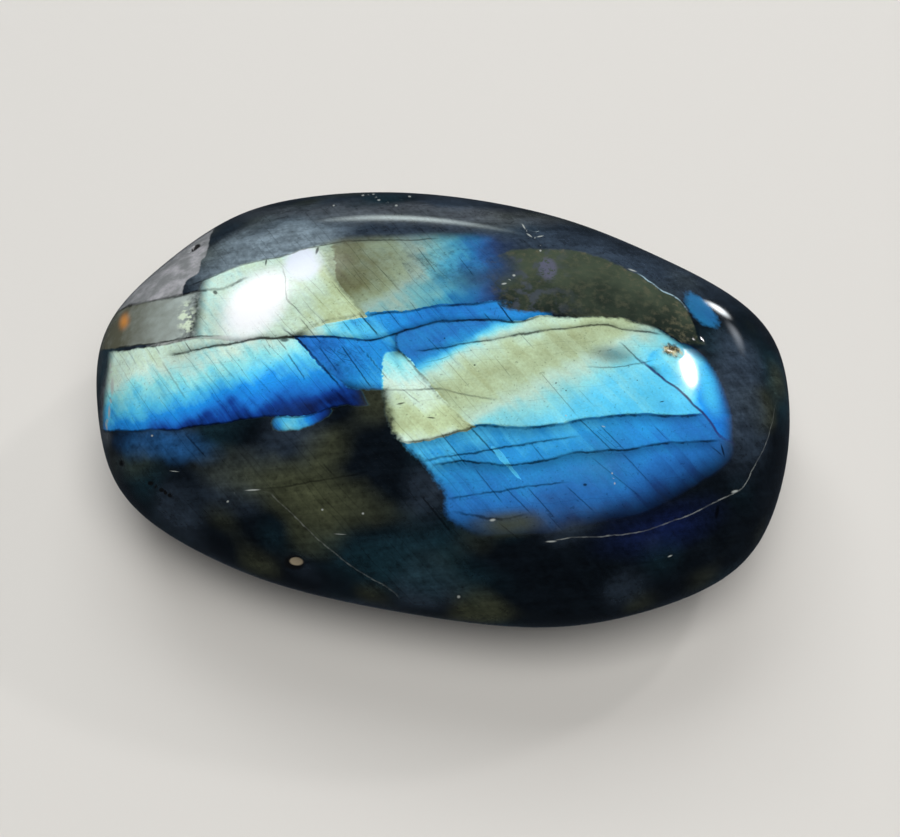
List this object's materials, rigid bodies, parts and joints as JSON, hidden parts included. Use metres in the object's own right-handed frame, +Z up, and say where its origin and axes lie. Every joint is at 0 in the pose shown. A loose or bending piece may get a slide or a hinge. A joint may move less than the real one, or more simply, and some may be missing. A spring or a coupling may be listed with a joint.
{
  "type": "polished labradorite palm stone",
  "caption": "Smooth, flattened oval palm stone of polished labradorite with natural pits and a small flat underneath to rest on.",
  "frame": {"origin": "on the surface the stone rests on, under the middle of its box", "axes": "+X along the stone's length, +Y across it towards its far side, +Z up from the flat underside"},
  "size_m": [0.0716, 0.0517, 0.022],
  "materials": {
    "labradorite": "high polish, dark body with a blue, cyan and gold inner flash"
  },
  "bodies": {
    "root": {"labradorite_stone": "labradorite"}
  },
  "joints": []
}
